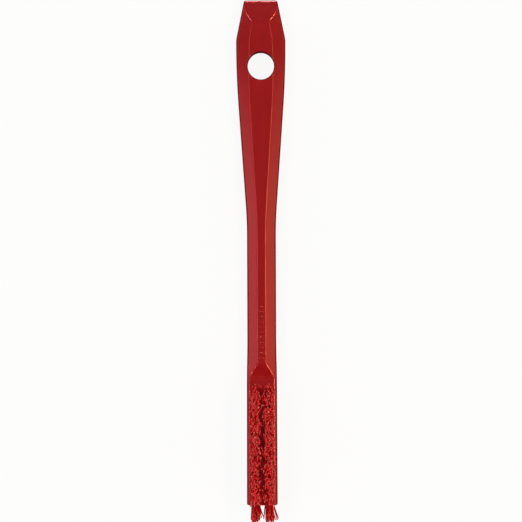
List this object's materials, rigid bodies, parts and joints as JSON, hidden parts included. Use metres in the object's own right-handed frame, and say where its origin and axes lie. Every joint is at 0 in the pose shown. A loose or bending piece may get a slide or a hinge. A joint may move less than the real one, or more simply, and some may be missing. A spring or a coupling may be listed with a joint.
{
  "type": "detail brush",
  "caption": "Narrow faceted hand brush with a hanging hole at one end and rows of stiff bristle tufts on one face of its slim head.",
  "frame": {"origin": "on the resting plane of the flat back, at the middle of the whole brush's length and width", "axes": "+X along the brush from the bristle head to the hanging end, +Y across it to the left row, +Z out of the bristle face"},
  "size_m": [0.2054, 0.0194, 0.0236],
  "materials": {
    "handle_plastic": "satin moulded polypropylene, red",
    "bristle_filament": "stiff extruded polyester filament, red",
    "anchor_steel": "flat drawn stainless wire"
  },
  "bodies": {
    "root": {"handle_block": "handle_plastic", "tuft_left_1": "bristle_filament", "tuft_left_2": "bristle_filament", "tuft_left_3": "bristle_filament", "tuft_left_4": "bristle_filament", "tuft_left_5": "bristle_filament", "tuft_left_6": "bristle_filament", "tuft_left_7": "bristle_filament", "tuft_left_8": "bristle_filament", "tuft_left_9": "bristle_filament", "tuft_right_1": "bristle_filament", "tuft_right_2": "bristle_filament", "tuft_right_3": "bristle_filament", "tuft_right_4": "bristle_filament", "tuft_right_5": "bristle_filament", "tuft_right_6": "bristle_filament", "tuft_right_7": "bristle_filament", "tuft_right_8": "bristle_filament", "tuft_right_9": "bristle_filament", "anchors_left": "anchor_steel", "anchors_right": "anchor_steel"}
  },
  "joints": []
}
